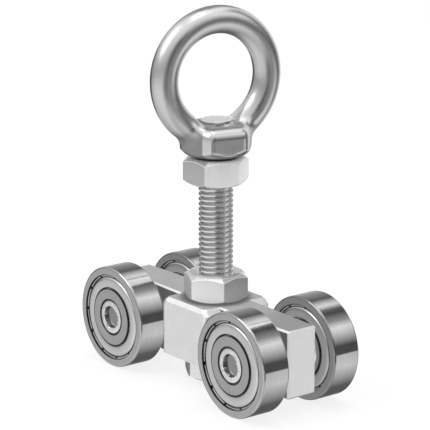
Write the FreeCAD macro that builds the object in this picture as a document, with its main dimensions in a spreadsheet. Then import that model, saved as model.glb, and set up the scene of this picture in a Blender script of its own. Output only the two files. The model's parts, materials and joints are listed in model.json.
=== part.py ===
import FreeCAD, Part
import math
import os
import types

import Sketcher


# Driving sizes of the trolley, in millimetres, and its turned angles in degrees
SIZES = [
    # rolling bearings that serve as wheels
    ("wheel_diameter", 30.0),
    ("wheel_width", 9.0),
    ("bearing_bore", 10.0),
    ("ring_edge_round", 0.6),
    ("bore_bevel", 0.5),
    ("ball_circle_diameter", 20.0),
    ("ball_diameter", 4.76),
    ("race_gap", 0.1),
    # lands, seat and shoulder, each counted outwards or inwards from the one before it
    ("inner_land_drop", 1.45),
    ("outer_land_rise", 1.75),
    ("shield_seat_step", 0.85),
    ("shield_seat_depth", 1.3),
    ("shield_sheet", 0.3),
    ("shield_sink", 0.25),
    ("shield_shoulder_rise", 1.1),
    ("shield_curl_height", 0.85),
    ("shield_rim_gap", 0.05),
    ("shield_lip_gap", 0.22),
    ("cage_sheet", 0.4),
    ("cage_width", 2.3),
    # places of the wheels
    ("wheelbase", 56.6),
    ("wheel_inner_gap", 16.2),
    ("press_gap", 0.02),
    # axles and the spacers on them
    ("axle_end_bevel", 0.3),
    ("axle_recess_diameter", 6.4),
    ("axle_recess_depth", 3.0),
    ("spacer_diameter", 14.0),
    # cross-shaped body
    ("body_top_above_axle", 10.0),
    ("block_length", 20.8),
    ("block_width", 23.8),
    ("block_height", 16.9),
    ("block_corner_round", 1.6),
    ("block_end_bevel", 1.65),
    ("block_side_bevel", 1.1),
    ("arm_reach", 38.8),
    ("arm_root_width", 11.8),
    ("arm_tip_width", 9.9),
    ("arm_height", 19.8),
    ("arm_edge_bevel", 0.5),
    ("spotface_diameter", 16.4),
    ("spotface_width", 9.9),
    # bolt and nuts
    ("thread_diameter", 10.0),
    ("thread_gap", 0.05),
    ("bolt_hole_diameter", 10.6),
    ("bolt_length", 69.3),
    ("bolt_end_bevel", 0.7),
    ("hex_flats", 16.6),
    ("bolt_head_height", 6.4),
    ("nut_height", 7.5),
    ("nut_mouth_bevel", 0.6),
    ("bolt_turn", 31.0),
    ("lower_nut_turn", 36.0),
    ("upper_nut_turn", 3.4),
    # eye nut
    ("eye_seat_above_body", 41.5),
    ("collar_flats", 19.6),
    ("collar_height", 8.6),
    ("collar_corner_round", 3.0),
    ("collar_shoulder_round", 2.9),
    ("collar_foot_diameter", 17.6),
    ("collar_foot_rise", 1.0),
    ("boss_diameter", 14.0),
    ("boss_height", 1.1),
    ("eye_root_height", 6.45),
    ("eye_ring_diameter", 32.9),
    ("eye_wire_diameter", 8.0),
    ("eye_blend_round", 5.0),
    ("eye_seat_diameter", 11.6),
    ("eye_hollow_diameter", 20.8),
    ("eye_hollow_rise", 6.4),
    ("collar_turn", -14.4),
    ("ring_twist", 5.4),
]

BALL_COUNT = 8
HEX_CHAMFER_SLOPE = math.tan(math.radians(30.0))
# A hexagon's corners lie on a circle this much larger than the circle inside its flats
HEX_CORNER_RATIO = 2.0 / math.sqrt(3.0)
# The cone of a nut's or head's chamfer starts on a circle this share of the flats
CHAMFER_CIRCLE_SHARE = 0.92
# Cutting profiles run past the solid by this many millimetres
CUT_MARGIN = 2.0

doc = FreeCAD.newDocument("trolley_roller")
sheet = doc.addObject("Spreadsheet::Sheet", "Sizes")
for row, (alias, number) in enumerate(SIZES, start=1):
    sheet.set(f"A{row}", alias.replace("_", " "))
    sheet.set(f"B{row}", str(number))
    sheet.setAlias(f"B{row}", alias)
doc.recompute()


class Size:
    """A measure worked out from the sheet: its number now and the expression that keeps it."""

    def __init__(self, value, text):
        self.value = value
        self.text = text

    def __add__(self, other):
        return join_sizes(self, "+", other)

    def __radd__(self, other):
        return join_sizes(other, "+", self)

    def __sub__(self, other):
        return join_sizes(self, "-", other)

    def __rsub__(self, other):
        return join_sizes(other, "-", self)

    def __mul__(self, other):
        return join_sizes(self, "*", other)

    def __rmul__(self, other):
        return join_sizes(other, "*", self)

    def __truediv__(self, other):
        return join_sizes(self, "/", other)

    def __neg__(self):
        return join_sizes(0.0, "-", self)


def as_size(item):
    """Gives a plain number the form of a Size."""
    if isinstance(item, Size):
        return item
    return Size(float(item), repr(float(item)))


def join_sizes(left, sign, right):
    """Joins two measures by one sign, as numbers and as text."""
    a = as_size(left)
    b = as_size(right)
    results = {"+": a.value + b.value, "-": a.value - b.value, "*": a.value * b.value}
    value = a.value / b.value if sign == "/" else results[sign]
    return Size(value, f"({a.text} {sign} {b.text})")


s = types.SimpleNamespace(**{alias: Size(number, f"Sizes.{alias}") for alias, number in SIZES})

# Measures that several pieces share
wheel_radius = s.wheel_diameter / 2
half_width = s.wheel_width / 2
wheel_centre_y = s.wheel_inner_gap / 2 + half_width
axle_end_y = s.wheel_inner_gap / 2 + s.wheel_width
body_top = wheel_radius + s.body_top_above_axle
block_bottom = body_top - s.block_height
thread_radius = s.thread_diameter / 2
nut_bore_radius = thread_radius + s.thread_gap
race_radius = s.ball_diameter / 2 + s.race_gap
pitch_radius = s.ball_circle_diameter / 2
inner_ring_radius = pitch_radius - s.inner_land_drop
outer_land_radius = pitch_radius + s.outer_land_rise
shield_seat_radius = outer_land_radius + s.shield_seat_step
eye_seat = body_top + s.eye_seat_above_body


class Free:
    """A coordinate of an outline that the sketch itself works out from its other rules."""

    def __init__(self, value):
        self.value = value


class Bow:
    """A round stretch of an outline, between the points that stand before and after it."""

    def __init__(self, centre, radius=None, clockwise=False):
        self.centre = centre
        self.radius = radius
        self.clockwise = clockwise


def number_of(item):
    """The number of a Size, of a Free coordinate or of a plain number."""
    return item.value if isinstance(item, (Size, Free)) else float(item)


def bind(item, name, size):
    """Ties one property of a document object to the sheet."""
    item.setExpression(name, as_size(size).text)


def fix_point(sketch, edge, end, point):
    """Ties both coordinates of a point to the sheet, or to an axis where they are nought."""
    for coordinate, kind, axis in ((point[0], "DistanceX", -2), (point[1], "DistanceY", -1)):
        if isinstance(coordinate, Free):
            continue
        if isinstance(coordinate, Size):
            rule = sketch.addConstraint(Sketcher.Constraint(kind, edge, end, coordinate.value))
            sketch.setExpression(f"Constraints[{rule}]", coordinate.text)
        else:
            sketch.addConstraint(Sketcher.Constraint("PointOnObject", edge, end, axis))


def vector_of(point):
    """A point of an outline as a vector in the plane of its sketch."""
    return FreeCAD.Vector(number_of(point[0]), number_of(point[1]), 0)


def add_arc(sketch, start, bow, end):
    """Adds a round stretch and says which end of the new edge is the path's first."""
    centre = vector_of(bow.centre)
    first, last = (end, start) if bow.clockwise else (start, end)
    ray = vector_of(first) - centre
    far_ray = vector_of(last) - centre
    circle = Part.Circle(centre, FreeCAD.Vector(0, 0, 1), ray.Length)
    from_angle = math.atan2(ray.y, ray.x)
    to_angle = math.atan2(far_ray.y, far_ray.x)
    edge = sketch.addGeometry(Part.ArcOfCircle(circle, from_angle, to_angle))
    fix_point(sketch, edge, 3, bow.centre)
    if bow.radius is not None:
        rule = sketch.addConstraint(Sketcher.Constraint("Radius", edge, bow.radius.value))
        sketch.setExpression(f"Constraints[{rule}]", bow.radius.text)
    return edge, (2 if bow.clockwise else 1)


def draw_outline(sketch, *path):
    """Draws a closed outline through points, with a Bow wherever the edge is round."""
    points = [item for item in path if not isinstance(item, Bow)]
    edges = []
    step = 0
    for number, point in enumerate(points):
        following = points[(number + 1) % len(points)]
        step += 1
        if step < len(path) and isinstance(path[step], Bow):
            edges.append(add_arc(sketch, point, path[step], following))
            step += 1
        else:
            line = Part.LineSegment(vector_of(point), vector_of(following))
            edges.append((sketch.addGeometry(line), 1))
    for number, (edge, start) in enumerate(edges):
        next_edge, next_start = edges[(number + 1) % len(edges)]
        sketch.addConstraint(Sketcher.Constraint("Coincident", edge, 3 - start, next_edge, next_start))
    for (edge, start), point in zip(edges, points):
        fix_point(sketch, edge, start, point)


def draw_circle(sketch, centre, radius):
    """Draws a circle whose centre and radius follow the sheet."""
    circle = Part.Circle(vector_of(centre), FreeCAD.Vector(0, 0, 1), number_of(radius))
    edge = sketch.addGeometry(circle)
    fix_point(sketch, edge, 3, centre)
    rule = sketch.addConstraint(Sketcher.Constraint("Radius", edge, number_of(radius)))
    sketch.setExpression(f"Constraints[{rule}]", as_size(radius).text)


def new_body(label):
    """Starts a piece; its label names the piece."""
    body = doc.addObject("PartDesign::Body", label)
    body.Label = label
    return body


def new_sketch(body, role, name, lift=None, rise=None, twist=None):
    """Puts a sketch on one of the body's own planes, lifted off it, raised along it or turned."""
    sketch = body.newObject("Sketcher::SketchObject", f"{body.Name}_{name}")
    plane = [item for item in body.Origin.OriginFeatures if item.Role == role][0]
    sketch.AttachmentSupport = [(plane, "")]
    sketch.MapMode = "FlatFace"
    if twist is not None:
        turn = FreeCAD.Rotation(FreeCAD.Vector(0, 1, 0), number_of(twist))
        sketch.AttachmentOffset = FreeCAD.Placement(FreeCAD.Vector(0, 0, 0), turn)
        bind(sketch, "AttachmentOffset.Rotation.Angle", twist)
    if lift is not None:
        bind(sketch, "AttachmentOffset.Base.z", lift)
    if rise is not None:
        bind(sketch, "AttachmentOffset.Base.y", rise)
    return sketch


def new_feature(body, kind, name, sketch):
    """Adds a feature that works from a sketch."""
    feature = body.newObject(f"PartDesign::{kind}", f"{body.Name}_{name}")
    feature.Profile = sketch
    sketch.Visibility = False
    return feature


def turn_profile(body, name, *path, kind="Revolution"):
    """Turns an outline, drawn as radius and height, about the body's upright axis."""
    sketch = new_sketch(body, "XZ_Plane", f"{name}_outline")
    draw_outline(sketch, *path)
    feature = new_feature(body, kind, name, sketch)
    feature.ReferenceAxis = (sketch, ["V_Axis"])
    feature.Angle = 360.0
    return feature


def pad(body, name, sketch, height, reverse=False):
    """Raises a sketch to a height."""
    feature = new_feature(body, "Pad", name, sketch)
    bind(feature, "Length", height)
    feature.Reversed = reverse
    return feature


def cut_through(body, name, sketch):
    """Cuts a sketch right through, both ways."""
    feature = new_feature(body, "Pocket", name, sketch)
    feature.Type = "ThroughAll"
    feature.Midplane = True
    return feature


def cut_to_depth(body, name, sketch, depth, reverse=False):
    """Cuts a sketch to a depth."""
    feature = new_feature(body, "Pocket", name, sketch)
    bind(feature, "Length", depth)
    feature.Reversed = reverse
    return feature


def dress_edges(body, kind, name, base, size, wanted):
    """Rounds or bevels those edges of a feature that the wanted test picks."""
    doc.recompute()
    names = [f"Edge{n}" for n, edge in enumerate(base.Shape.Edges, start=1) if wanted(edge)]
    feature = body.newObject(f"PartDesign::{kind}", f"{body.Name}_{name}")
    feature.Base = (base, names)
    bind(feature, "Radius" if kind == "Fillet" else "Size", size)
    return feature


def place(item, x=0.0, y=0.0, z=0.0, axis=(0, 0, 1), angle=0.0):
    """Turns a piece by an angle about an axis and ties its place to the sheet."""
    turn = FreeCAD.Rotation(FreeCAD.Vector(*axis), number_of(angle))
    item.Placement = FreeCAD.Placement(FreeCAD.Vector(0, 0, 0), turn)
    for name, size in (("x", x), ("y", y), ("z", z)):
        if isinstance(size, Size):
            bind(item, f"Placement.Base.{name}", size)
    if isinstance(angle, Size):
        bind(item, "Placement.Rotation.Angle", angle)


def hexagon(sketch, flats, corner_angle=0.0):
    """Draws a hexagon with the given width across its flats."""
    corner_radius = flats / 2 * HEX_CORNER_RATIO
    angles = [math.radians(corner_angle + 60.0 * side) for side in range(6)]
    draw_outline(sketch, *[(corner_radius * math.cos(a), corner_radius * math.sin(a)) for a in angles])


def chamfer_hexagon(body, name, flats, height, upward):
    """Turns the chamfer that takes the corners off one end of a hexagon."""
    inner = flats / 2 * CHAMFER_CIRCLE_SHARE
    outer = flats / 2 * HEX_CORNER_RATIO + CUT_MARGIN
    drop = (outer - inner) * HEX_CHAMFER_SLOPE
    low = height - drop if upward else height + drop
    return turn_profile(body, name, (inner, height), (outer, height), (outer, low), kind="Groove")


# Body: one solid cross, a block that the bolt passes through with a tapered arm to each end
def make_trolley_body():
    body = new_body("trolley_body")

    block = new_sketch(body, "XY_Plane", "block_plan", lift=block_bottom)
    half_x = s.block_length / 2
    half_y = s.block_width / 2
    draw_outline(block, (-half_x, -half_y), (half_x, -half_y), (half_x, half_y), (-half_x, half_y))
    block_pad = pad(body, "block", block, s.block_height)

    def top_edge_along(axis):
        def wanted(edge):
            low, high = edge.Vertexes[0].Point, edge.Vertexes[-1].Point
            level = all(abs(v.Point.z - body_top.value) < 1e-6 for v in edge.Vertexes)
            return level and abs((high - low).dot(axis)) > 1.0
        return wanted

    crosswise = top_edge_along(FreeCAD.Vector(0, 1, 0))
    lengthwise = top_edge_along(FreeCAD.Vector(1, 0, 0))
    end_bevel = dress_edges(body, "Chamfer", "block_end_bevel", block_pad, s.block_end_bevel, crosswise)
    side_bevel = dress_edges(body, "Chamfer", "block_side_bevel", end_bevel, s.block_side_bevel, lengthwise)

    def rising_corner(edge):
        return abs(edge.Vertexes[0].Point.z - edge.Vertexes[-1].Point.z) > 1e-3

    dress_edges(body, "Fillet", "block_corner_rounds", side_bevel, s.block_corner_round, rising_corner)

    arms = new_sketch(body, "XY_Plane", "arm_plan", lift=body_top - s.arm_height)
    root = s.arm_root_width / 2
    tip = s.arm_tip_width / 2
    draw_outline(
        arms,
        (-s.arm_reach, -tip), (-half_x, -root), (half_x, -root), (s.arm_reach, -tip),
        (s.arm_reach, tip), (half_x, root), (-half_x, root), (-s.arm_reach, tip),
    )
    arm_pad = pad(body, "arms", arms, s.arm_height)

    def arm_edge(edge):
        middle = edge.CenterOfMass
        beyond_block = abs(middle.x) > half_x.value + 1e-3
        return beyond_block and all(abs(v.Point.x) > half_x.value - 1e-3 for v in edge.Vertexes)

    dress_edges(body, "Chamfer", "arm_bevel", arm_pad, s.arm_edge_bevel, arm_edge)

    # between the arms the underside is relieved up to the block, where the bolt's head sits
    relief = new_sketch(body, "XY_Plane", "relief_plan", lift=block_bottom)
    draw_outline(relief, (-half_x, -half_y), (half_x, -half_y), (half_x, half_y), (-half_x, half_y))
    cut_to_depth(body, "underside_relief", relief, s.arm_height)

    bolt_hole = new_sketch(body, "XY_Plane", "bolt_hole_plan")
    draw_circle(bolt_hole, (0, 0), s.bolt_hole_diameter / 2)
    cut_through(body, "bolt_hole", bolt_hole)

    axle_bores = new_sketch(body, "XZ_Plane", "axle_bore_plan")
    for end in (1, -1):
        centre = (s.wheelbase / 2 * end, wheel_radius)
        draw_circle(axle_bores, centre, s.bearing_bore / 2 + s.press_gap)
    cut_through(body, "axle_bores", axle_bores)

    for side_name, side in (("right", 1), ("left", -1)):
        seats = new_sketch(body, "XZ_Plane", f"spotface_plan_{side_name}", lift=s.spotface_width / 2 * side)
        for end in (1, -1):
            draw_circle(seats, (s.wheelbase / 2 * end, wheel_radius), s.spotface_diameter / 2)
        cut_to_depth(body, f"spotfaces_{side_name}", seats, s.arm_root_width / 2, reverse=side > 0)
    return body


# Axle: a turned pin across the arm, drilled in both ends and riveted over the bearings
def make_axle(label, x):
    body = new_body(label)
    radius = s.bearing_bore / 2
    recess = s.axle_recess_diameter / 2
    floor = axle_end_y - s.axle_recess_depth
    shoulder = axle_end_y - s.axle_end_bevel
    turn_profile(
        body, "pin",
        (0, -floor), (recess, -floor), (recess, -axle_end_y), (radius - s.axle_end_bevel, -axle_end_y),
        (radius, -shoulder), (radius, shoulder), (radius - s.axle_end_bevel, axle_end_y),
        (recess, axle_end_y), (recess, floor), (0, floor),
    )
    place(body, x=x, z=wheel_radius, axis=(1, 0, 0), angle=90.0)
    return body


# Spacer: a plain ring between the arm's spotface and the bearing's inner ring
def make_spacer(label, x, side):
    body = new_body(label)
    inner = s.bearing_bore / 2 + s.press_gap
    outer = s.spacer_diameter / 2
    low = s.spotface_width / 2
    high = s.wheel_inner_gap / 2
    turn_profile(body, "ring", (inner, low), (outer, low), (outer, high), (inner, high))
    place(body, x=x, z=wheel_radius, axis=(1, 0, 0), angle=-90.0 * side)
    return body


# Outer ring: the wheel's tread, with the ball race and a seat for a shield at each side
def make_outer_ring(label):
    body = new_body(label)
    edge = s.ring_edge_round
    land = outer_land_radius
    seat = shield_seat_radius
    floor = half_width - s.shield_seat_depth
    race_half = Free(math.sqrt(race_radius.value ** 2 - s.outer_land_rise.value ** 2))
    turn_profile(
        body, "ring",
        (Free(wheel_radius.value), -(half_width - edge)),
        (wheel_radius, half_width - edge),
        Bow((wheel_radius - edge, half_width - edge)),
        (wheel_radius - edge, Free(half_width.value)),
        (seat, half_width), (seat, floor), (land, floor),
        (land, race_half),
        Bow((pitch_radius, 0), race_radius, clockwise=True),
        (land, Free(-race_half.value)),
        (land, -floor), (seat, -floor), (seat, -half_width),
        (wheel_radius - edge, -half_width),
        Bow((wheel_radius - edge, -(half_width - edge))),
    )
    return body


# Inner ring: sits still on the axle, with the matching race on its outside
def make_inner_ring(label):
    body = new_body(label)
    bore = s.bearing_bore / 2 + s.press_gap
    outside = inner_ring_radius
    bevel = s.bore_bevel
    race_half = Free(math.sqrt(race_radius.value ** 2 - s.inner_land_drop.value ** 2))
    turn_profile(
        body, "ring",
        (bore, -(half_width - bevel)), (bore + bevel, -half_width), (outside, -half_width),
        (outside, Free(-race_half.value)),
        Bow((pitch_radius, 0), race_radius, clockwise=True),
        (outside, race_half),
        (outside, half_width), (bore + bevel, half_width), (bore, half_width - bevel),
    )
    return body


# Shield: thin pressed steel with a rounded shoulder and its rim turned up in the outer ring's seat
def make_shield(label):
    body = new_body(label)
    gauge = s.shield_sheet
    lip = inner_ring_radius + s.shield_lip_gap
    rim = shield_seat_radius - s.shield_rim_gap
    shoulder = pitch_radius + s.shield_shoulder_rise
    floor = half_width - s.shield_seat_depth
    top = half_width - s.shield_sink
    step = floor + gauge
    outer_round = top - step
    inner_round = outer_round - gauge
    turn_profile(
        body, "disc",
        (lip, top - gauge), (shoulder, top - gauge),
        Bow((shoulder, step), clockwise=True),
        (Free((shoulder + inner_round).value), step), (shoulder + inner_round, floor), (rim, floor),
        (rim, floor + s.shield_curl_height), (rim - gauge, floor + s.shield_curl_height),
        (rim - gauge, step), (Free((shoulder + outer_round).value), step),
        Bow((shoulder, step)),
        (shoulder, top), (lip, top),
    )
    return body


# Balls: eight to a bearing, evenly spaced round the pitch circle
def make_balls(label, radius, name):
    balls = []
    for number in range(BALL_COUNT):
        degrees = 360.0 * number / BALL_COUNT
        angle = math.radians(degrees)
        ball = doc.addObject("Part::Sphere", f"{name}_{number + 1}")
        bind(ball, "Radius", radius)
        # the ball's seam line faces its neighbour, clear of the cage's open sides
        seam_turn = degrees + 90.0
        place(ball, x=pitch_radius * math.cos(angle), y=pitch_radius * math.sin(angle), angle=seam_turn)
        balls.append(ball)
    group = doc.addObject("Part::Compound", label)
    group.Label = label
    group.Links = balls
    return group


# Tube: the difference of two cylinders about the upright axis, centred on its height
def make_tube(name, inner, outer, height):
    parts = []
    for end, radius in (("outside", outer), ("inside", inner)):
        cylinder = doc.addObject("Part::Cylinder", f"{name}_{end}")
        bind(cylinder, "Radius", radius)
        bind(cylinder, "Height", height)
        place(cylinder, z=-height / 2)
        parts.append(cylinder)
    tube = doc.addObject("Part::Cut", name)
    tube.Base, tube.Tool = parts
    return tube


# Cage: two riveted steel ribbons that run flat between the balls and cup round each one
def make_cage(label):
    pocket = race_radius
    inner = pitch_radius - s.cage_width / 2
    outer = pitch_radius + s.cage_width / 2
    flat = make_tube(f"{label}_flats", inner, outer, s.cage_sheet * 2)
    cups = make_balls(f"{label}_cups", pocket + s.cage_sheet, f"{label}_cup")
    shape = doc.addObject("Part::MultiFuse", f"{label}_ribbon")
    shape.Shapes = [flat] + list(cups.Links)
    band = make_tube(f"{label}_band", inner, outer, s.wheel_width)
    trimmed = doc.addObject("Part::Common", f"{label}_trimmed")
    trimmed.Base = shape
    trimmed.Tool = band
    pockets = make_balls(f"{label}_pockets", pocket, f"{label}_pocket")
    cage = doc.addObject("Part::Cut", label)
    cage.Label = label
    cage.Base = trimmed
    cage.Tool = pockets
    return cage


# Bolt: hexagon head under the block, threaded shank up through block, nuts and eye nut
def make_bolt(label):
    body = new_body(label)
    head_plan = new_sketch(body, "XY_Plane", "head_plan")
    hexagon(head_plan, s.hex_flats)
    pad(body, "head", head_plan, s.bolt_head_height, reverse=True)
    chamfer_hexagon(body, "head_chamfer", s.hex_flats, -s.bolt_head_height, upward=False)
    bevel = s.bolt_end_bevel
    turn_profile(
        body, "shank",
        (0, -s.bolt_head_height / 2), (thread_radius, -s.bolt_head_height / 2),
        (thread_radius, s.bolt_length - bevel), (thread_radius - bevel, s.bolt_length),
        (0, s.bolt_length),
    )
    place(body, z=block_bottom, angle=s.bolt_turn)
    return body


# Nut: plain hexagon nut, chamfered at both ends, with a bevelled mouth to its thread
def make_nut(label, height, turn):
    body = new_body(label)
    plan = new_sketch(body, "XY_Plane", "plan")
    hexagon(plan, s.hex_flats)
    pad(body, "hexagon", plan, s.nut_height)
    chamfer_hexagon(body, "top_chamfer", s.hex_flats, s.nut_height, upward=True)
    chamfer_hexagon(body, "bottom_chamfer", s.hex_flats, as_size(0.0), upward=False)
    mouth = nut_bore_radius + s.nut_mouth_bevel
    turn_profile(
        body, "thread_hole",
        (0, 0), (mouth, 0), (nut_bore_radius, s.nut_mouth_bevel),
        (nut_bore_radius, s.nut_height - s.nut_mouth_bevel), (mouth, s.nut_height), (0, s.nut_height),
        kind="Groove",
    )
    place(body, z=height, angle=turn)
    return body


# Eye nut: forged ring that grows out of a rounded hexagon collar, with a boss under the collar
# and a spot-face inside the ring round its thread
def make_eye_nut(label):
    body = new_body(label)
    plan = new_sketch(body, "XY_Plane", "collar_plan", lift=s.boss_height)
    hexagon(plan, s.collar_flats, corner_angle=30.0)
    collar = pad(body, "collar", plan, s.collar_height)
    collar_top = s.boss_height + s.collar_height

    def corner_edge(edge):
        return abs(edge.Vertexes[0].Point.z - edge.Vertexes[-1].Point.z) > 1e-3

    def top_edge(edge):
        return all(abs(v.Point.z - collar_top.value) < 1e-6 for v in edge.Vertexes)

    rounded = dress_edges(body, "Fillet", "collar_corners", collar, s.collar_corner_round, corner_edge)
    dress_edges(body, "Fillet", "collar_shoulder", rounded, s.collar_shoulder_round, top_edge)

    foot = s.collar_foot_diameter / 2
    flat = s.collar_flats / 2
    outer = flat * HEX_CORNER_RATIO + CUT_MARGIN
    slope = s.collar_foot_rise / (flat - foot)
    turn_profile(
        body, "foot_chamfer",
        (foot, s.boss_height), (outer, s.boss_height), (outer, s.boss_height + (outer - foot) * slope),
        kind="Groove",
    )
    boss = new_sketch(body, "XY_Plane", "boss_plan")
    draw_circle(boss, (0, 0), s.boss_diameter / 2)
    pad(body, "boss", boss, s.boss_height + s.collar_foot_rise)

    # The forging's ring stands a few degrees off the collar's corners
    ring_centre = s.eye_root_height + s.eye_ring_diameter / 2
    ring = new_sketch(body, "XZ_Plane", "wire_section", rise=ring_centre, twist=s.ring_twist)
    draw_circle(ring, (0, s.eye_ring_diameter / 2), s.eye_wire_diameter / 2)
    eye = new_feature(body, "Revolution", "ring", ring)
    eye.ReferenceAxis = (ring, ["H_Axis"])
    eye.Angle = 360.0

    def root_edge(edge):
        faces = eye.Shape.ancestorsOfType(edge, Part.Face)
        round_faces = [face for face in faces if isinstance(face.Surface, Part.Toroid)]
        return len(round_faces) == 1 and len(faces) == 2

    dress_edges(body, "Fillet", "ring_blend", eye, s.eye_blend_round, root_edge)

    seat = s.eye_seat_diameter / 2
    rim = s.eye_hollow_diameter / 2
    rim_height = collar_top + s.eye_hollow_rise
    turn_profile(
        body, "spotface",
        (0, collar_top), (seat, collar_top), (rim, rim_height), (0, rim_height),
        kind="Groove",
    )

    mouth = nut_bore_radius + s.nut_mouth_bevel
    turn_profile(
        body, "thread_hole",
        (0, 0), (mouth, 0), (nut_bore_radius, s.nut_mouth_bevel),
        (nut_bore_radius, collar_top + s.nut_mouth_bevel), (0, collar_top + s.nut_mouth_bevel),
        kind="Groove",
    )
    place(body, z=eye_seat, angle=s.collar_turn)
    return body


# The pieces that stand still about the bolt
nodes = [make_trolley_body()]
nodes.append(make_bolt("hex_bolt"))
nodes.append(make_nut("lower_nut", body_top, s.lower_nut_turn))
nodes.append(make_nut("upper_nut", eye_seat - s.nut_height, s.upper_nut_turn))
nodes.append(make_eye_nut("eye_nut"))

# Two axles, and on each end of them a spacer and a complete bearing
for end_name, end in (("front", 1), ("rear", -1)):
    axle_x = s.wheelbase / 2 * end
    nodes.append(make_axle(f"{end_name}_axle", axle_x))
    for side_name, side in (("left", 1), ("right", -1)):
        corner = f"{end_name}_{side_name}"
        nodes.append(make_spacer(f"spacer_{corner}", axle_x, side))
        pieces = [
            make_outer_ring(f"outer_ring_{corner}"),
            make_inner_ring(f"inner_ring_{corner}"),
            make_shield(f"outboard_shield_{corner}"),
            make_balls(f"balls_{corner}", s.ball_diameter / 2, f"ball_{corner}"),
            make_cage(f"cage_{corner}"),
        ]
        for piece in pieces:
            place(piece, axle_x, wheel_centre_y * side, wheel_radius, axis=(1, 0, 0), angle=-90.0 * side)
        inboard = make_shield(f"inboard_shield_{corner}")
        place(inboard, axle_x, wheel_centre_y * side, wheel_radius, axis=(1, 0, 0), angle=90.0 * side)
        nodes.extend(pieces + [inboard])

doc.recompute()

# Nothing is written unless every object worked out and every piece is sound
for item in doc.Objects:
    if "Invalid" in item.State or "Error" in item.State:
        raise RuntimeError(f"{item.Label} did not work out: {item.State}")
for node in nodes:
    if node.Shape.isNull() or not node.Shape.isValid():
        raise RuntimeError(f"{node.Label} has no sound shape")

os.makedirs("parts", exist_ok=True)
for node in nodes:
    node.Shape.exportStep(os.path.join("parts", f"{node.Label}.step"))
print(f"{len(nodes)} pieces written")
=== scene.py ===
import json
import math

import bpy
from mathutils import Matrix, Vector

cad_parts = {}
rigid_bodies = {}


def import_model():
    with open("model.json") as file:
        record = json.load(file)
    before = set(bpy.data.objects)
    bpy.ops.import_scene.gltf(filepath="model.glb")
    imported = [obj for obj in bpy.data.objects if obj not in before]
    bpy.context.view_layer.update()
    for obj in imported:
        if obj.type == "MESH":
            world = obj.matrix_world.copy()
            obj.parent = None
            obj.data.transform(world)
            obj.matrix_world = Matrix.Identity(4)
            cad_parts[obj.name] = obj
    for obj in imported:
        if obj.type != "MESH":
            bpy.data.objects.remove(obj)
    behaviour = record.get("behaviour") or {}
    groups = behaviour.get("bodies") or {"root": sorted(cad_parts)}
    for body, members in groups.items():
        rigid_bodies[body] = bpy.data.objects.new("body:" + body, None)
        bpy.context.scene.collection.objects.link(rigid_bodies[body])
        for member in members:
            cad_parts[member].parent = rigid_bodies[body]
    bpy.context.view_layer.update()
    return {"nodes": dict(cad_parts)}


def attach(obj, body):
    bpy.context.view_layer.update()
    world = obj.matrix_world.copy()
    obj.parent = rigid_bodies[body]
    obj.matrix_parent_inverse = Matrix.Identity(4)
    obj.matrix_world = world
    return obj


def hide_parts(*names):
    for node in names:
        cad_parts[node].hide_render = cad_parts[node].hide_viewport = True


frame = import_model()
cad_nodes = frame["nodes"]


# Camera. A long lens from the right front of the track, a little above the wheels, as a
# catalogue picture of a small trolley is taken.
camera_data = bpy.data.cameras.new("catalogue_camera")
camera_data.sensor_width = 36.0
camera_data.lens = 196.74
camera_data.clip_start = 0.05
camera = bpy.data.objects.new("catalogue_camera", camera_data)
bpy.context.scene.collection.objects.link(camera)
camera_right = Vector((0.6137, 0.7895, 0.0)).normalized()
camera_back = Vector((0.7626, -0.5928, 0.2585)).normalized()
camera_up = camera_back.cross(camera_right)
camera_place = Matrix((camera_right, camera_up, camera_back)).transposed().to_4x4()
camera_place.translation = Vector((0.5112, -0.3977, 0.2226))
camera.matrix_world = camera_place
bpy.context.scene.camera = camera
bpy.context.scene.view_settings.view_transform = "Standard"


# Studio. A pale sweep under soft overhead lamps, which the camera sees white. Polished steel
# mirrors the room round it, so mirrored rays see a room: strip lamps with dark gaps along the
# track, an open front with a pale table, and a doorway behind the trolley's tail.
def grey(shade):
    """A neutral colour."""
    return shade, shade, shade, 1.0


class Socket:
    """An output of a shader node, or its bare tree. Arithmetic on it adds Math nodes."""

    def __init__(self, tree, link=None):
        self.tree = tree
        self.link = link

    def node(self, kind, settings=None, sockets=None, output=0):
        """Adds a node of a type: settings first, then the values or links of its sockets."""
        item = self.tree.nodes.new(f"ShaderNode{kind}")
        for name, value in (settings or {}).items():
            if name != "stops":
                setattr(item, name, value)
                continue
            elements = item.color_ramp.elements
            while len(elements) < len(value):
                elements.new(1.0)
            for element, (position, shade) in zip(elements, value):
                element.position = position
                element.color = grey(shade)
        for name, value in (sockets or {}).items():
            if isinstance(value, Socket):
                self.tree.links.new(value.link, item.inputs[name])
            else:
                item.inputs[name].default_value = value
        return Socket(self.tree, item.outputs[output]) if len(item.outputs) else None

    def math(self, operation, *others):
        """Adds a Math node that works on this value and on others."""
        return self.node("Math", {"operation": operation}, dict(enumerate((self, *others))))

    def __add__(self, other):
        return self.math("ADD", other)

    def __radd__(self, other):
        return self.math("ADD", other)

    def __sub__(self, other):
        return self.math("SUBTRACT", other)

    def __rsub__(self, other):
        return self.node("Math", {"operation": "SUBTRACT"}, {0: other, 1: self})

    def __mul__(self, other):
        return self.math("MULTIPLY", other)

    def __rmul__(self, other):
        return self.math("MULTIPLY", other)

    def rise(self, low, high):
        """A smooth step from 0 at low to 1 at high."""
        limits = {"Value": self, "From Min": low, "From Max": high}
        return self.node("MapRange", {"interpolation_type": "SMOOTHSTEP"}, limits)

    def band(self, low, full, fade, high):
        """1 from full to fade, and 0 below low and above high."""
        return self.rise(low, full) * (1.0 - self.rise(fade, high))

    def ramp(self, stops):
        """Grey shades along this value, from a list of (place, shade)."""
        return self.node("ValToRGB", {"stops": stops}, {0: self})

    def split(self):
        """The three parts of a vector."""
        parts = self.node("SeparateXYZ", None, {0: self}).link.node.outputs
        return [Socket(self.tree, part) for part in parts]


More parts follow.
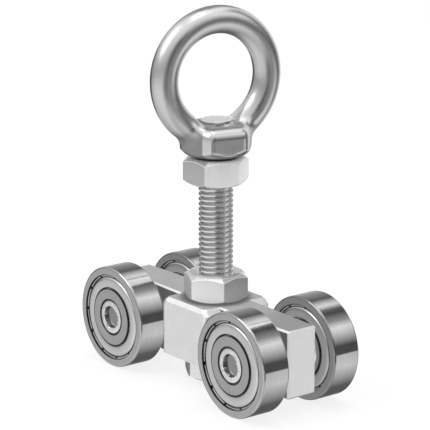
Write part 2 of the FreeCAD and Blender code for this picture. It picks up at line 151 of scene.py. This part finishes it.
def blend(mask, low, high):
    """Mixes two colours by a mask: a Mix node's colours are its sockets 6 and 7, and its output 2."""
    return mask.node("Mix", {"data_type": "RGBA"}, {0: mask, 6: low, 7: high}, 2)


world = bpy.data.worlds.new("studio")
bpy.context.scene.world = world
world.use_nodes = True
world.node_tree.nodes.clear()
room = Socket(world.node_tree)
look_x, look_y, look_z = room.node("TexCoord", output="Generated").split()
look_round = look_y.math("ARCTAN2", look_x) * (0.5 / math.pi) + 0.5

# Strips that lie along the axles: where they stand round the axle, and how bright they are
strips = (look_z.math("ARCTAN2", look_x) * (0.5 / math.pi) + 0.5).ramp([
    (0.00, 0.62), (0.05, 0.50), (0.09, 0.26), (0.16, 0.14), (0.24, 0.20), (0.33, 0.75), (0.39, 1.15),
    (0.464, 1.00), (0.469, 0.14), (0.52, 0.13), (0.595, 1.10), (0.63, 1.50), (0.675, 0.55),
    (0.73, 0.13), (0.76, 0.26), (0.795, 1.45), (0.82, 1.00), (0.86, 0.20), (0.90, 0.34), (1.00, 0.62),
])

# The open front of the room, from the floor up: pale table, dim middle, bright ceiling
front = (look_z * 0.5 + 0.5).ramp([
    (0.00, 0.55), (0.20, 0.80), (0.36, 0.82), (0.46, 0.50), (0.56, 0.46), (0.68, 0.80), (0.80, 1.00),
    (1.00, 1.25),
])

# What stands in the front, by its place round the trolley and its height: a lit window, the dark
# camera stand, a black flag above it and the room's grey end wall
below_wheels = look_z.band(-0.44, -0.36, -0.18, -0.06)
window = look_round.band(0.135, 0.165, 0.355, 0.375) * (1.0 - look_z.rise(-0.12, 0.05))
stand = look_round.band(0.375, 0.405, 0.475, 0.505) * below_wheels
flag = look_round.band(0.412, 0.428, 0.488, 0.500) * look_z.band(-0.07, -0.03, 0.36, 0.44)
end_wall = look_round.rise(0.48, 0.51) * below_wheels
for thing, tone in ((window * 0.5, 1.25), (stand * 0.92, 0.05), (flag, 0.02), (end_wall, 0.30)):
    front = blend(thing, front, grey(tone))
strips = blend(end_wall * (1.0 - look_y.rise(0.38, 0.48)), strips, grey(0.30))

# The far side of the room, with a dark gap in its roof and a doorway in line with the track
far_side = (look_x * 0.5 + 0.5).ramp([
    (0.00, 0.45), (0.27, 1.15), (0.33, 1.15), (0.38, 0.92), (0.46, 0.92), (0.60, 0.18), (1.00, 0.18),
])
behind = blend(look_y.rise(0.70, 0.84), strips, far_side)
roof_gap = look_y.band(0.17, 0.23, 0.46, 0.52) * look_z.rise(0.76, 0.82)
behind = blend(roof_gap, behind, grey(0.08))
doorway = (look_x * -0.98 + look_y * -0.04 + look_z * -0.19).rise(0.925, 0.960)
mirrored = blend(doorway, blend(look_y.rise(0.32, -0.12), behind, front), grey(0.05))

# The camera sees white, polished steel the room, and soft light fills the rest
soft_fill = blend(room.node("LightPath", output="Is Glossy Ray"), grey(0.66), mirrored)
seen = blend(room.node("LightPath", output="Is Camera Ray"), soft_fill, grey(1.0))
sky = room.node("Background", None, {"Color": seen, "Strength": 1.0})
room.node("OutputWorld", None, {"Surface": sky})


def bare_material(name):
    """A new material with no nodes, and its tree."""
    finish = bpy.data.materials.new(name)
    finish.use_nodes = True
    finish.node_tree.nodes.clear()
    return finish, Socket(finish.node_tree)


bpy.ops.object.select_all(action="DESELECT")
bpy.ops.mesh.primitive_circle_add(vertices=96, radius=3.0, fill_type="NGON")
sweep = bpy.context.object
sweep.name = "studio_floor"
sweep_finish, paper = bare_material("pale_sweep")
matt = paper.node("BsdfDiffuse", None, {"Color": grey(0.93)})
glow = paper.node("Emission", None, {"Color": grey(1.0), "Strength": 1.12})
lit = paper.node("LightPath", output="Is Camera Ray") * 0.7
pale = paper.node("MixShader", None, {0: lit, 1: matt, 2: glow})
clear = paper.node("BsdfTransparent")
is_mirrored = paper.node("LightPath", output="Is Glossy Ray")
sheet = paper.node("MixShader", None, {0: is_mirrored, 1: pale, 2: clear})
paper.node("OutputMaterial", None, {"Surface": sheet})
sweep.data.materials.append(sweep_finish)


def soft_lamp(name, place, size, power):
    """A square soft lamp aimed at the middle of the trolley."""
    lamp_data = bpy.data.lights.new(name, "AREA")
    lamp_data.size = size
    lamp_data.energy = power
    lamp = bpy.data.objects.new(name, lamp_data)
    bpy.context.scene.collection.objects.link(lamp)
    lamp.location = place
    aim = Vector((0.0, 0.0, 0.04)) - lamp.location
    lamp.rotation_euler = aim.to_track_quat("-Z", "Y").to_euler()


soft_lamp("key_lamp", Vector((-0.35, -0.85, 0.95)), 0.7, 3.5)
soft_lamp("top_lamp", Vector((0.10, 0.25, 1.10)), 0.8, 2.5)


# Trolley body. One solid steel cross, milled all over and zinc plated: a block that carries the
# bolt and a tapered arm to each axle. Its plating is pale and satin, with faint upright mill marks.
MM = 0.001
FACES_SIDEWAYS, FACES_UP = (0.75, 0.85), (0.90, 0.98)
FLANKS_WITHIN = (8.3 * MM, 9.0 * MM)
FRONT_ARM = (11.0 * MM, 32.0 * MM)
NUT_SEAT = (8.6 * MM, 11.6 * MM)


def plated_steel(name, light, dark, roughness, grain, marks_and_painted_shade=None, metallic=1.0):
    """Zinc plating on steel: clouded colour, fine specks and marks that run one way, then further marks and
    painted shade where given.
    """
    finish, tree = bare_material(name)
    place = tree.node("TexCoord", output="Object")
    clouds = tree.node("TexNoise", None, {"Vector": place, "Scale": 160.0, "Detail": 4.0, "Roughness": 0.55})
    specks = tree.node("TexNoise", None, {"Vector": place, "Scale": 2600.0, "Detail": 2.0, "Roughness": 0.6})
    stretched = tree.node("Mapping", None, {"Vector": place, "Scale": grain})
    marks = tree.node("TexNoise", None, {"Vector": stretched, "Scale": 1.0, "Detail": 3.0, "Roughness": 0.65})
    tone = clouds.rise(0.35, 0.68) * 0.5 + marks.rise(0.3, 0.7) * 0.35 + specks.rise(0.35, 0.7) * 0.15
    colour = blend(tone, (*dark, 1.0), (*light, 1.0))
    if marks_and_painted_shade:
        colour = marks_and_painted_shade(place, colour)
    rough = roughness + (clouds - 0.5) * 0.16 + (marks - 0.5) * 0.10
    height = marks * 0.7 + specks * 0.3
    relief = tree.node("Bump", None, {"Strength": 0.35, "Distance": 0.00003, "Height": height})
    shader = tree.node("BsdfPrincipled", None, {
        "Base Color": colour, "Metallic": metallic, "Roughness": rough, "Normal": relief,
    })
    tree.node("OutputMaterial", None, {"Surface": shader})
    return finish


def distance(one_way, other_way):
    """How far two steps at a right angle to each other lead."""
    return (one_way * one_way + other_way * other_way).math("SQRT")


def painted_shade_on_body(place, colour):
    """Painted shade: darker tops, most on the front arm, painted shadow on the arms' flanks behind the
    wheels, and a painted contact shadow round the nut.
    """
    along, across = place.split()[:2]
    facing = place.node("NewGeometry", output="True Normal").split()
    inner = 1.0 - across.math("ABSOLUTE").rise(*FLANKS_WITHIN)
    # Painted shadow on the arms' flanks behind the wheels
    flank = facing[1].math("ABSOLUTE").rise(*FACES_SIDEWAYS) * inner
    colour = blend(flank, colour, grey(0.14))
    # Painted shade on the tops, most on the front arm
    top = facing[2].rise(*FACES_UP)
    colour = blend(top * (along.rise(*FRONT_ARM) * 0.5 + 0.3), colour, grey(0.45))
    # Painted contact shadow on the block's top round the nut
    seat = 1.0 - distance(along, across).rise(*NUT_SEAT)
    return blend(seat * top * 0.85, colour, grey(0.10))


body_finish = plated_steel(
    "satin_zinc_on_milled_steel", (0.93, 0.93, 0.925), (0.84, 0.84, 0.835), 0.38, (1500.0, 1500.0, 130.0),
    painted_shade_on_body, metallic=0.75
)
cad_nodes["trolley_body"].material_slots[0].material = body_finish


# Axles and spacers. Turned pins through the arms, drilled in both ends and riveted over the
# bearings, so that the drilled holes have ragged rims. Painted shade darkens the holes' walls and
# floors and the edge of each pin's end. Turned rings space the bearings off the arms. All are
# bright zinc plated.
CORNERS = ("front_left", "front_right", "rear_left", "rear_right")
WHEELBASE_HALF = 28.3 * MM
AXLE_HEIGHT = 15.0 * MM
AXLE_END = 17.1
PIN_RADIUS = 4.98
HOLE_RADIUS = 3.25
HOLE_FLOOR = AXLE_END - 1.7
RAGGED_BY = 0.22
ROUND_SIDES = 72
AXLE_END_PROFILE = [
    (HOLE_RADIUS - 0.3, HOLE_FLOOR), (HOLE_RADIUS - 0.05, HOLE_FLOOR + 0.3),
    (HOLE_RADIUS, AXLE_END - 0.15), (HOLE_RADIUS + 0.1, AXLE_END - 0.02), (HOLE_RADIUS + 0.3, AXLE_END),
    (PIN_RADIUS - 0.43, AXLE_END), (PIN_RADIUS - 0.18, AXLE_END - 0.06), (PIN_RADIUS, AXLE_END - 0.4),
]


def turned(name, profile, sides, closed=False):
    """A turned piece: a circle carried round Z along a profile of (radius, height) in mm."""
    bpy.ops.object.select_all(action="DESELECT")
    radius, height = profile[0]
    fill = "NOTHING" if closed else "NGON"
    bpy.ops.mesh.primitive_circle_add(
        vertices=sides, radius=radius * MM, fill_type=fill, enter_editmode=True, location=(0, 0, 0)
    )
    piece = bpy.context.object
    piece.name = name
    bpy.ops.mesh.select_mode(type="VERT")
    bpy.ops.mesh.select_all(action="SELECT")
    bpy.ops.transform.translate(value=(0.0, 0.0, height * MM))
    for next_radius, next_height in profile[1:]:
        lift = (0.0, 0.0, (next_height - height) * MM)
        bpy.ops.mesh.extrude_region_move(TRANSFORM_OT_translate={"value": lift})
        widen = next_radius / radius
        bpy.ops.transform.resize(value=(widen, widen, 1.0), center_override=(0.0, 0.0, next_height * MM))
        radius, height = next_radius, next_height
    bpy.ops.mesh.select_all(action="SELECT")
    bpy.ops.mesh.remove_doubles(threshold=0.001 * MM)
    bpy.ops.mesh.normals_make_consistent(inside=False)
    bpy.ops.mesh.select_all(action="DESELECT")
    bpy.ops.object.mode_set(mode="OBJECT")
    return piece


def alone(piece):
    """Makes a piece the only one selected and the active one."""
    bpy.ops.object.select_all(action="DESELECT")
    piece.select_set(True)
    bpy.context.view_layer.objects.active = piece


def picked(piece, wanted):
    """Goes into edit mode on a piece with only the wanted faces selected."""
    alone(piece)
    bpy.ops.object.mode_set(mode="EDIT")
    bpy.ops.mesh.select_mode(type="FACE")
    bpy.ops.mesh.select_all(action="DESELECT")
    bpy.ops.object.mode_set(mode="OBJECT")
    for face in piece.data.polygons:
        face.select = wanted(face.center / MM)
    bpy.ops.object.mode_set(mode="EDIT")


def settled(piece, place, lean=0.0, turn=0.0):
    """Turns a piece about Z, leans it about X, moves it to its place and fixes all in its mesh."""
    alone(piece)
    leant = Matrix.Rotation(lean, 4, "X") @ Matrix.Rotation(turn, 4, "Z")
    piece.matrix_world = Matrix.Translation(place) @ leant
    bpy.ops.object.transform_apply(location=True, rotation=True, scale=True)
    bpy.ops.object.shade_smooth_by_angle(angle=math.radians(32.0))


def copied(piece, name):
    """A copy of a piece with its own mesh."""
    twin = piece.copy()
    twin.data = piece.data.copy()
    twin.name = name
    bpy.context.scene.collection.objects.link(twin)
    return twin


def from_axle(place):
    """How far a point lies from the nearer axle, and how far from the middle of the track."""
    along, across, up = place.split()
    east = along.math("ABSOLUTE") - WHEELBASE_HALF
    return distance(east, up - AXLE_HEIGHT), across.math("ABSOLUTE")


def painted_shade_in_hole(place, colour):
    """Painted shade in the drilled hole, darkest on its wall and less on its floor, and a painted dark line
    at the edge of the pin's end.
    """
    radius, depth = from_axle(place)
    inside = 1.0 - radius.rise((HOLE_RADIUS - 0.03) * MM, (HOLE_RADIUS + 0.17) * MM)
    floor = 1.0 - depth.rise(HOLE_FLOOR * MM, (HOLE_FLOOR + 0.25) * MM)
    hole_shade = blend(floor, grey(0.12), grey(0.34))
    edge = radius.rise((PIN_RADIUS - 0.26) * MM, (PIN_RADIUS - 0.12) * MM)
    return blend(edge, blend(inside, colour, hole_shade), grey(0.10))


def on_hole_rim(centre):
    """Whether a face of a pin lies on the rim of a drilled hole."""
    near_end = abs(abs(centre.z) - AXLE_END) < 0.2
    return near_end and math.hypot(centre.x, centre.y) < HOLE_RADIUS + 0.25


turned_finish = plated_steel(
    "bright_zinc_on_turned_steel", (0.95, 0.95, 0.945), (0.82, 0.82, 0.815), 0.40, (300.0, 2200.0, 300.0)
)
pin_finish = plated_steel(
    "bright_zinc_on_riveted_pins", (0.95, 0.95, 0.945), (0.82, 0.82, 0.815), 0.40, (900.0, 900.0, 900.0),
    painted_shade_in_hole
)
for corner in CORNERS:
    cad_nodes[f"spacer_{corner}"].material_slots[0].material = turned_finish

lower_end = [(radius, -height) for radius, height in AXLE_END_PROFILE]
first_pin = turned("front_axle_pin", lower_end + AXLE_END_PROFILE[::-1], ROUND_SIDES)
picked(first_pin, on_hole_rim)
bpy.ops.transform.vertex_random(offset=RAGGED_BY * MM, seed=7)
bpy.ops.object.mode_set(mode="OBJECT")
first_pin.data.materials.append(pin_finish)
second_pin = copied(first_pin, "rear_axle_pin")
for pin, end, turn, node in ((first_pin, 1, 0.0, "front_axle"), (second_pin, -1, 2.1, "rear_axle")):
    settled(pin, (WHEELBASE_HALF * end, 0.0, AXLE_HEIGHT), math.radians(90.0), turn)
    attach(pin, "trolley")
    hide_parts(node)


# Bearing rings. Hardened steel, ground on the faces and polished on the tread, with the fine
# turning lines of the wheel that ground them. Painted shade darkens the grooves beside the shields.
TREAD = (14.35 * MM, 14.60 * MM)
BEHIND_WHEEL = (8.3 * MM, 8.8 * MM)
GROOVE_BLUR = 0.08


def ground_steel(name, light, dark, tread_rough, face_rough, grooves=()):
    """Ground steel whose lines run round the nearer axle, with painted shade in grooves at some radii and
    behind the wheel.
    """
    finish, tree = bare_material(name)
    place = tree.node("TexCoord", output="Object")
    radius, across = from_axle(place)
    rings = tree.node("CombineXYZ", None, {"X": radius, "Y": across})
    lines = tree.node("TexNoise", None, {"Vector": rings, "Scale": 5200.0, "Detail": 3.0, "Roughness": 0.7})
    wide_lines = tree.node("TexNoise", None, {"Vector": rings, "Scale": 900.0, "Detail": 2.0})
    clouds = tree.node("TexNoise", None, {"Vector": place, "Scale": 240.0, "Detail": 3.0})
    tone = lines.rise(0.3, 0.7) * 0.35 + wide_lines.rise(0.3, 0.7) * 0.35 + clouds.rise(0.3, 0.7) * 0.3
    colour = blend(tone, (*dark, 1.0), (*light, 1.0))
    # Painted shadow on the inboard faces behind the wheels
    shadow = 1.0 - across.rise(*BEHIND_WHEEL)
    colour = blend(shadow * 0.6, colour, grey(0.12))
    # Painted shade in the grooves at the given radii
    for low, high, shade in grooves:
        edges = [(edge + blur) * MM for edge in (low, high) for blur in (-GROOVE_BLUR, GROOVE_BLUR)]
        colour = blend(radius.band(*edges), colour, grey(shade))
    rough = radius.rise(*TREAD) * (tread_rough - face_rough) + face_rough + (clouds - 0.5) * 0.06
    relief = tree.node("Bump", None, {"Strength": 0.15, "Distance": 0.00002, "Height": lines})
    shader = tree.node("BsdfPrincipled", None, {
        "Base Color": colour, "Metallic": 1.0, "Roughness": rough, "Normal": relief,
    })
    tree.node("OutputMaterial", None, {"Surface": shader})
    return finish


# Painted shade in the shield's seat on the outer ring, and on the inner ring at the bore's edge and by the
# shield's lip
outer_ring_finish = ground_steel(
    "polished_bearing_steel", (0.50, 0.50, 0.505), (0.42, 0.42, 0.425), 0.06, 0.26, [(11.6, 12.76, 0.015)]
)
inner_ring_finish = ground_steel(
    "ground_bearing_steel", (0.50, 0.50, 0.505), (0.40, 0.40, 0.405), 0.26, 0.30,
    [(4.9, 5.52, 0.03), (8.3, 10.0, 0.02)]
)
for corner in CORNERS:
    cad_nodes[f"outer_ring_{corner}"].material_slots[0].material = outer_ring_finish
    for part in ("inner_ring", "balls", "cage"):
        cad_nodes[f"{part}_{corner}"].material_slots[0].material = inner_ring_finish


# Shields. Thin bright steel, pressed with a lip round the inner ring and a rounded shoulder. The
# rim is curled and has eleven notches, so that it snaps into its seat in the outer ring.
WHEEL_MIDDLE = 12.6 * MM
SHIELD_PROFILE = [
    (8.77, 3.75), (8.80, 4.05), (8.90, 4.20), (9.05, 4.25), (11.10, 4.25), (11.39, 4.19), (11.63, 4.03),
    (11.79, 3.79), (11.85, 3.50), (12.05, 3.42), (12.09, 3.60), (12.10, 3.92), (12.17, 4.06), (12.30, 4.10),
    (12.43, 4.06), (12.50, 3.92), (12.52, 3.22), (11.60, 3.22), (11.52, 3.50), (11.40, 3.80), (11.10, 3.95),
    (9.10, 3.95), (8.95, 3.75), (8.77, 3.75),
]
RIM_INSIDE, RIM_CROWN = 12.1, 3.98
NOTCHES, STEPS_A_NOTCH = 11, 20
STEPS_ROUND = NOTCHES * STEPS_A_NOTCH
NOTCH_DEPTH = 0.6
TURN_A_CORNER = 11.0
# Painted shade in the gap by the lip and on both sides of the curled rim
shield_finish = ground_steel(
    "bright_pressed_steel", (0.68, 0.68, 0.685), (0.58, 0.58, 0.585), 0.22, 0.24,
    [(8.7, 8.98, 0.05), (11.76, 12.14, 0.02), (12.44, 12.6, 0.03)]
)
# Painted shade: the notches' faces are near black where the dark seat shows through
notch_finish = ground_steel("shaded_notch_steel", (0.03, 0.03, 0.03), (0.02, 0.02, 0.02), 0.5, 0.5)


def in_notch(centre):
    """Whether a face lies on the rim's crown at a notch, which is one step wide."""
    step = int(math.degrees(math.atan2(centre.y, centre.x)) % 360.0 / (360.0 / STEPS_ROUND))
    on_crown = math.hypot(centre.x, centre.y) > RIM_INSIDE and centre.z > RIM_CROWN
    return step % STEPS_A_NOTCH == STEPS_A_NOTCH // 2 and on_crown


first_shield = turned("pressed_shield", SHIELD_PROFILE, STEPS_ROUND, closed=True)
picked(first_shield, in_notch)
bpy.ops.transform.translate(value=(0.0, 0.0, -NOTCH_DEPTH * MM))
first_shield.data.materials.append(shield_finish)
first_shield.data.materials.append(notch_finish)
bpy.ops.mesh.select_more()
first_shield.active_material_index = 1
bpy.ops.object.material_slot_assign()
bpy.ops.object.mode_set(mode="OBJECT")
for number, corner in enumerate(CORNERS):
    end = 1 if corner.startswith("front") else -1
    side = 1 if corner.endswith("left") else -1
    turn = math.radians(0.0 if corner == "rear_right" else TURN_A_CORNER * number)
    for face, outward in (("outboard", side), ("inboard", -side)):
        shield = copied(first_shield, f"{face}_pressed_shield_{corner}")
        wheel_place = (WHEELBASE_HALF * end, WHEEL_MIDDLE * side, AXLE_HEIGHT)
        settled(shield, wheel_place, math.radians(-90.0 * outward), turn)
        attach(shield, f"wheel_{corner}")
        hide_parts(f"{face}_shield_{corner}")
bpy.data.objects.remove(first_shield, do_unlink=True)


# Bolt. Standard zinc plated M10 hexagon bolt, from below through the block. Its thread is rolled,
# and the point is faced and chamfered, so that the thread runs out on it.
CREST, ROOT, PITCH = 4.95, 4.12, 1.5
CREST_WIDTH, ROOT_WIDTH = 0.46, 0.26
FLANK_RISE = (PITCH - CREST_WIDTH - ROOT_WIDTH) / 2
THREAD_FOOT, BOLT_END = 20.0, 77.4
CHAMFER_FOOT, CHAMFER_TOP = 76.55, 77.25
STEPS_A_TURN, THREAD_TURNS = 48, 41
OVERLAP = 1.0
FLANKS_FADE = (75.8 * MM, 76.2 * MM)
ROOT_SHADE_FADES = (76.2 * MM, 76.5 * MM)
JOINED_WITHIN = 0.002 * MM


def painted_shade_on_thread(place, colour):
    """Painted shade in the thread's root and on its flanks, and a painted dark chamfer at the point."""
    along, across, up = place.split()
    radius = distance(along, across)
    root_shade = (1.0 - radius.rise((ROOT + 0.02) * MM, (ROOT + 0.45) * MM)) * (1.0 - up.rise(*ROOT_SHADE_FADES))
    flanks = place.node("NewGeometry", output="Normal").split()[2].math("ABSOLUTE").rise(0.45, 0.75)
    flanks = flanks * (1.0 - up.rise(*FLANKS_FADE)) * radius.rise(ROOT * MM, (ROOT + 0.1) * MM)
    chamfer = up.band(
        (CHAMFER_FOOT - 0.05) * MM, CHAMFER_FOOT * MM, (CHAMFER_TOP - 0.05) * MM, CHAMFER_TOP * MM
    )
    # Painted shade on the flanks, the chamfer and the thread's root
    for mask, tone in ((flanks * 0.65, 0.20), (chamfer * 0.85, 0.08), (root_shade * 0.6, 0.12)):
        colour = blend(mask, colour, grey(tone))
    return colour


bolt_finish = plated_steel(
    "zinc_on_rolled_steel", (0.80, 0.80, 0.795), (0.68, 0.68, 0.675), 0.24, (400.0, 400.0, 400.0),
    painted_shade_on_thread, metallic=0.9
)
point_finish = plated_steel(
    "zinc_on_faced_point", (0.95, 0.95, 0.945), (0.90, 0.90, 0.895), 0.35, (2000.0, 300.0, 900.0),
    metallic=0.1
)


def merged_copy(node, name):
    """A copy of a CAD node with its triangles joined."""
    piece = copied(cad_nodes[node], name)
    alone(piece)
    bpy.ops.mesh.customdata_custom_splitnormals_clear()
    bpy.ops.object.mode_set(mode="EDIT")
    bpy.ops.mesh.select_all(action="SELECT")
    bpy.ops.mesh.remove_doubles(threshold=JOINED_WITHIN)
    bpy.ops.mesh.dissolve_limited(angle_limit=math.radians(0.6))
    bpy.ops.mesh.select_all(action="DESELECT")
    bpy.ops.object.mode_set(mode="OBJECT")
    return piece


# One pitch of the thread's outline, carried up the bolt by a screw
bpy.ops.object.select_all(action="DESELECT")
bpy.ops.mesh.primitive_plane_add(size=0.2 * MM, enter_editmode=True, location=(0, 0, 0))
thread = bpy.context.object
thread.name = "rolled_thread"
bpy.ops.mesh.select_mode(type="VERT")
bpy.ops.mesh.select_all(action="SELECT")
bpy.ops.mesh.merge(type="CENTER")
bpy.ops.transform.translate(value=(CREST * MM, 0.0, (THREAD_FOOT - PITCH) * MM))
THREAD_OUTLINE = (
    (0.0, CREST_WIDTH), (ROOT - CREST, FLANK_RISE), (0.0, ROOT_WIDTH), (CREST - ROOT, FLANK_RISE),
)
for step_out, step_up in THREAD_OUTLINE:
    bpy.ops.mesh.extrude_region_move(TRANSFORM_OT_translate={"value": (step_out * MM, 0.0, step_up * MM)})
bpy.ops.object.mode_set(mode="OBJECT")
screw = thread.modifiers.new("screw", "SCREW")
screw.axis = "Z"
screw.angle = math.tau
screw.screw_offset = PITCH * MM
screw.steps = screw.render_steps = STEPS_A_TURN
screw.iterations = THREAD_TURNS
bpy.ops.object.modifier_apply(modifier="screw")
bpy.ops.object.mode_set(mode="EDIT")
bpy.ops.mesh.select_all(action="SELECT")
bpy.ops.mesh.remove_doubles(threshold=JOINED_WITHIN)
for height, upper in ((THREAD_FOOT, False), (BOLT_END + OVERLAP, True)):
    bpy.ops.mesh.select_all(action="SELECT")
    bpy.ops.mesh.bisect(
        plane_co=(0.0, 0.0, height * MM), plane_no=(0.0, 0.0, 1.0), use_fill=True,
        clear_inner=not upper, clear_outer=upper
    )
bpy.ops.mesh.select_all(action="SELECT")
bpy.ops.mesh.normals_make_consistent(inside=False)
bpy.ops.object.mode_set(mode="OBJECT")

# The chamfered and faced point, cut from the thread
POINT_PROFILE = [
    (5.2, THREAD_FOOT - OVERLAP), (5.2, CHAMFER_FOOT), (4.42, CHAMFER_TOP), (4.25, BOLT_END),
]
point = turned("point_envelope", POINT_PROFILE, ROUND_SIDES)
cut = thread.modifiers.new("point", "BOOLEAN")
cut.operation = "INTERSECT"
cut.solver = "EXACT"
cut.object = point
alone(thread)
bpy.ops.object.modifier_apply(modifier="point")
bpy.data.objects.remove(point, do_unlink=True)

# The plain shank and head below the thread, and one bolt of both
bolt = merged_copy("hex_bolt", "threaded_bolt")
bpy.ops.object.mode_set(mode="EDIT")
bpy.ops.mesh.select_all(action="SELECT")
bpy.ops.mesh.bisect(
    plane_co=(0.0, 0.0, (THREAD_FOOT + OVERLAP) * MM), plane_no=(0.0, 0.0, 1.0), use_fill=True,
    clear_outer=True
)
bpy.ops.object.mode_set(mode="OBJECT")
bolt.material_slots[0].material = bolt_finish
thread.data.materials.clear()
thread.data.materials.append(bolt_finish)
thread.select_set(True)
bpy.ops.object.join()
bolt.data.materials.append(point_finish)
picked(bolt, lambda centre: centre.z > BOLT_END - 0.15)
bolt.active_material_index = len(bolt.data.materials) - 1
bpy.ops.object.material_slot_assign()
bpy.ops.object.mode_set(mode="OBJECT")
settled(bolt, (0.0, 0.0, 0.0))
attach(bolt, "trolley")
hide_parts("hex_bolt")


# Nuts. Two plain M10 hexagon nuts, chamfered both sides and bright zinc plated. One clamps the
# bolt on the block and the other locks the eye nut. Their edges are tumbled slightly round.
FLAT_HALF_TURN, FLAT_BLUR = 30.0, 0.5
# Each nut's metallic value, and the flats that get painted shade: their middle turn in degrees and their
# shade
NUT_LOOKS = (
    ("lower_nut", 0.35, [(-114.0, 0.70), (-54.0, 0.86), (6.0, 0.42)]),
    ("upper_nut", 0.15, [(-86.6, 0.45)]),
)


def painted_shade_on_flats(flat_shades):
    """Painted shade on a nut's flats: each listed flat is darkened to its own shade."""

    def shaded(place, colour):
        along, across = place.split()[:2]
        turn = across.math("ARCTAN2", along) * (180.0 / math.pi)
        for middle, shade in flat_shades:
            near, far = middle - FLAT_HALF_TURN, middle + FLAT_HALF_TURN
            flat = turn.band(near - FLAT_BLUR, near + FLAT_BLUR, far - FLAT_BLUR, far + FLAT_BLUR)
            colour = blend(flat, colour, grey(shade))
        return colour

    return shaded


rubbed_edges = plated_steel(
    "rubbed_edges_of_nuts", (1.0, 1.0, 0.995), (0.95, 0.95, 0.945), 0.30, (900.0, 900.0, 900.0), metallic=0.3
)
for node, metallic, flat_shades in NUT_LOOKS:
    nut_finish = plated_steel(
        f"bright_zinc_on_{node}", (0.95, 0.95, 0.945), (0.85, 0.85, 0.845), 0.32, (900.0, 900.0, 250.0),
        painted_shade_on_flats(flat_shades), metallic=metallic
    )
    nut = merged_copy(node, f"tumbled_{node}")
    nut.data.materials.append(rubbed_edges)
    edges = nut.modifiers.new("tumbled_edges", "BEVEL")
    edges.width = 0.24 * MM
    edges.material = 1
    edges.segments = 2
    edges.limit_method = "ANGLE"
    edges.angle_limit = math.radians(25.0)
    bpy.ops.object.modifier_apply(modifier="tumbled_edges")
    nut.material_slots[0].material = nut_finish
    settled(nut, (0.0, 0.0, 0.0))
    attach(nut, "trolley")
    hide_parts(node)


# Eye nut. Drop forged steel in one piece with its hexagon collar, tumbled and polished to a soft
# shine. The die leaves a bare pad on one flat of the collar, whose edge is a painted dark line of shade.
EYE_CENTRE = 89.4
RING_TURN = math.radians(81.0)
PAD_TURN = math.radians(-14.4)
PAD_MIDDLE, PAD_HALF_WIDTH, PAD_HALF_HEIGHT, PAD_CORNER = 71.2, 5.3, 2.3, 0.9
PAD_LINE = (0.06, 0.20)
PAD_SIDE, PAD_FLAT = (4.0, 5.0), (6.9, 7.3)
COLLAR_FADES = (73.0 * MM, 76.0 * MM)
GAP_TOP = (67.5 * MM, 67.75 * MM)


def towards(along, across, turn):
    """How far a point lies from the bolt's axis in one direction."""
    return along * math.cos(turn) + across * math.sin(turn)


def forged_streaks_and_painted_shade(place, colour):
    """Polishing streaks run round the ring; the collar has painted shade, lighter on the padded flat, the
    pad's edge a painted dark line of shade, and the low gap painted shadow.
    """
    along, across, up = place.split()
    in_ring = towards(along, across, RING_TURN)
    off_ring = towards(along, across, RING_TURN - math.pi / 2)
    from_centre = distance(up - EYE_CENTRE * MM, in_ring)
    rings = place.node("CombineXYZ", None, {"X": from_centre, "Y": off_ring, "Z": up * 0.06})
    streaks = place.node("TexNoise", None, {"Vector": rings, "Scale": 520.0, "Detail": 1.0, "Roughness": 0.5})
    colour = blend(streaks.rise(0.40, 0.75) * 0.30, colour, grey(0.34))
    sideways = towards(along, across, PAD_TURN + math.pi / 2) * (1.0 / MM)
    outward = towards(along, across, PAD_TURN) * (1.0 / MM)
    past_side = sideways.math("ABSOLUTE") - (PAD_HALF_WIDTH - PAD_CORNER)
    past_top = (up * (1.0 / MM) - PAD_MIDDLE).math("ABSOLUTE") - (PAD_HALF_HEIGHT - PAD_CORNER)
    rounded = distance(past_side.math("MAXIMUM", 0.0), past_top.math("MAXIMUM", 0.0))
    from_edge = rounded + past_side.math("MAXIMUM", past_top).math("MINIMUM", 0.0) - PAD_CORNER
    outline = (1.0 - from_edge.math("ABSOLUTE").rise(*PAD_LINE)) * outward.rise(*PAD_SIDE)
    # Painted shade on the collar below its shoulder, lighter on the padded flat
    collar_shade = blend(outward.rise(*PAD_FLAT), grey(0.27), grey(0.62))
    colour = blend(1.0 - up.rise(*COLLAR_FADES), colour, collar_shade)
    # Painted shade along the pad's edge
    colour = blend(outline * 0.7, colour, grey(0.10))
    # Painted shadow in the gap above the upper nut
    return blend(1.0 - up.rise(*GAP_TOP), colour, grey(0.02))


eye_finish = plated_steel(
    "polished_forged_steel", (0.63, 0.63, 0.63), (0.58, 0.58, 0.58), 0.30, (220.0, 220.0, 220.0), forged_streaks_and_painted_shade
)
eye = merged_copy("eye_nut", "polished_eye_nut")
skin = eye.modifiers.new("tumbled_skin", "REMESH")
skin.mode = "VOXEL"
skin.voxel_size = 0.3 * MM
bpy.ops.object.modifier_apply(modifier="tumbled_skin")
rub = eye.modifiers.new("rubbed_smooth", "SMOOTH")
rub.factor = 0.5
rub.iterations = 8
bpy.ops.object.modifier_apply(modifier="rubbed_smooth")
eye.material_slots[0].material = eye_finish
settled(eye, (0.0, 0.0, 0.0))
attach(eye, "trolley")
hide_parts("eye_nut")


# Finish. As in a retouched catalogue picture, the pieces mirror the room and not each other.
for piece in bpy.context.scene.objects:
    if piece.type == "MESH" and piece is not sweep:
        piece.visible_glossy = False
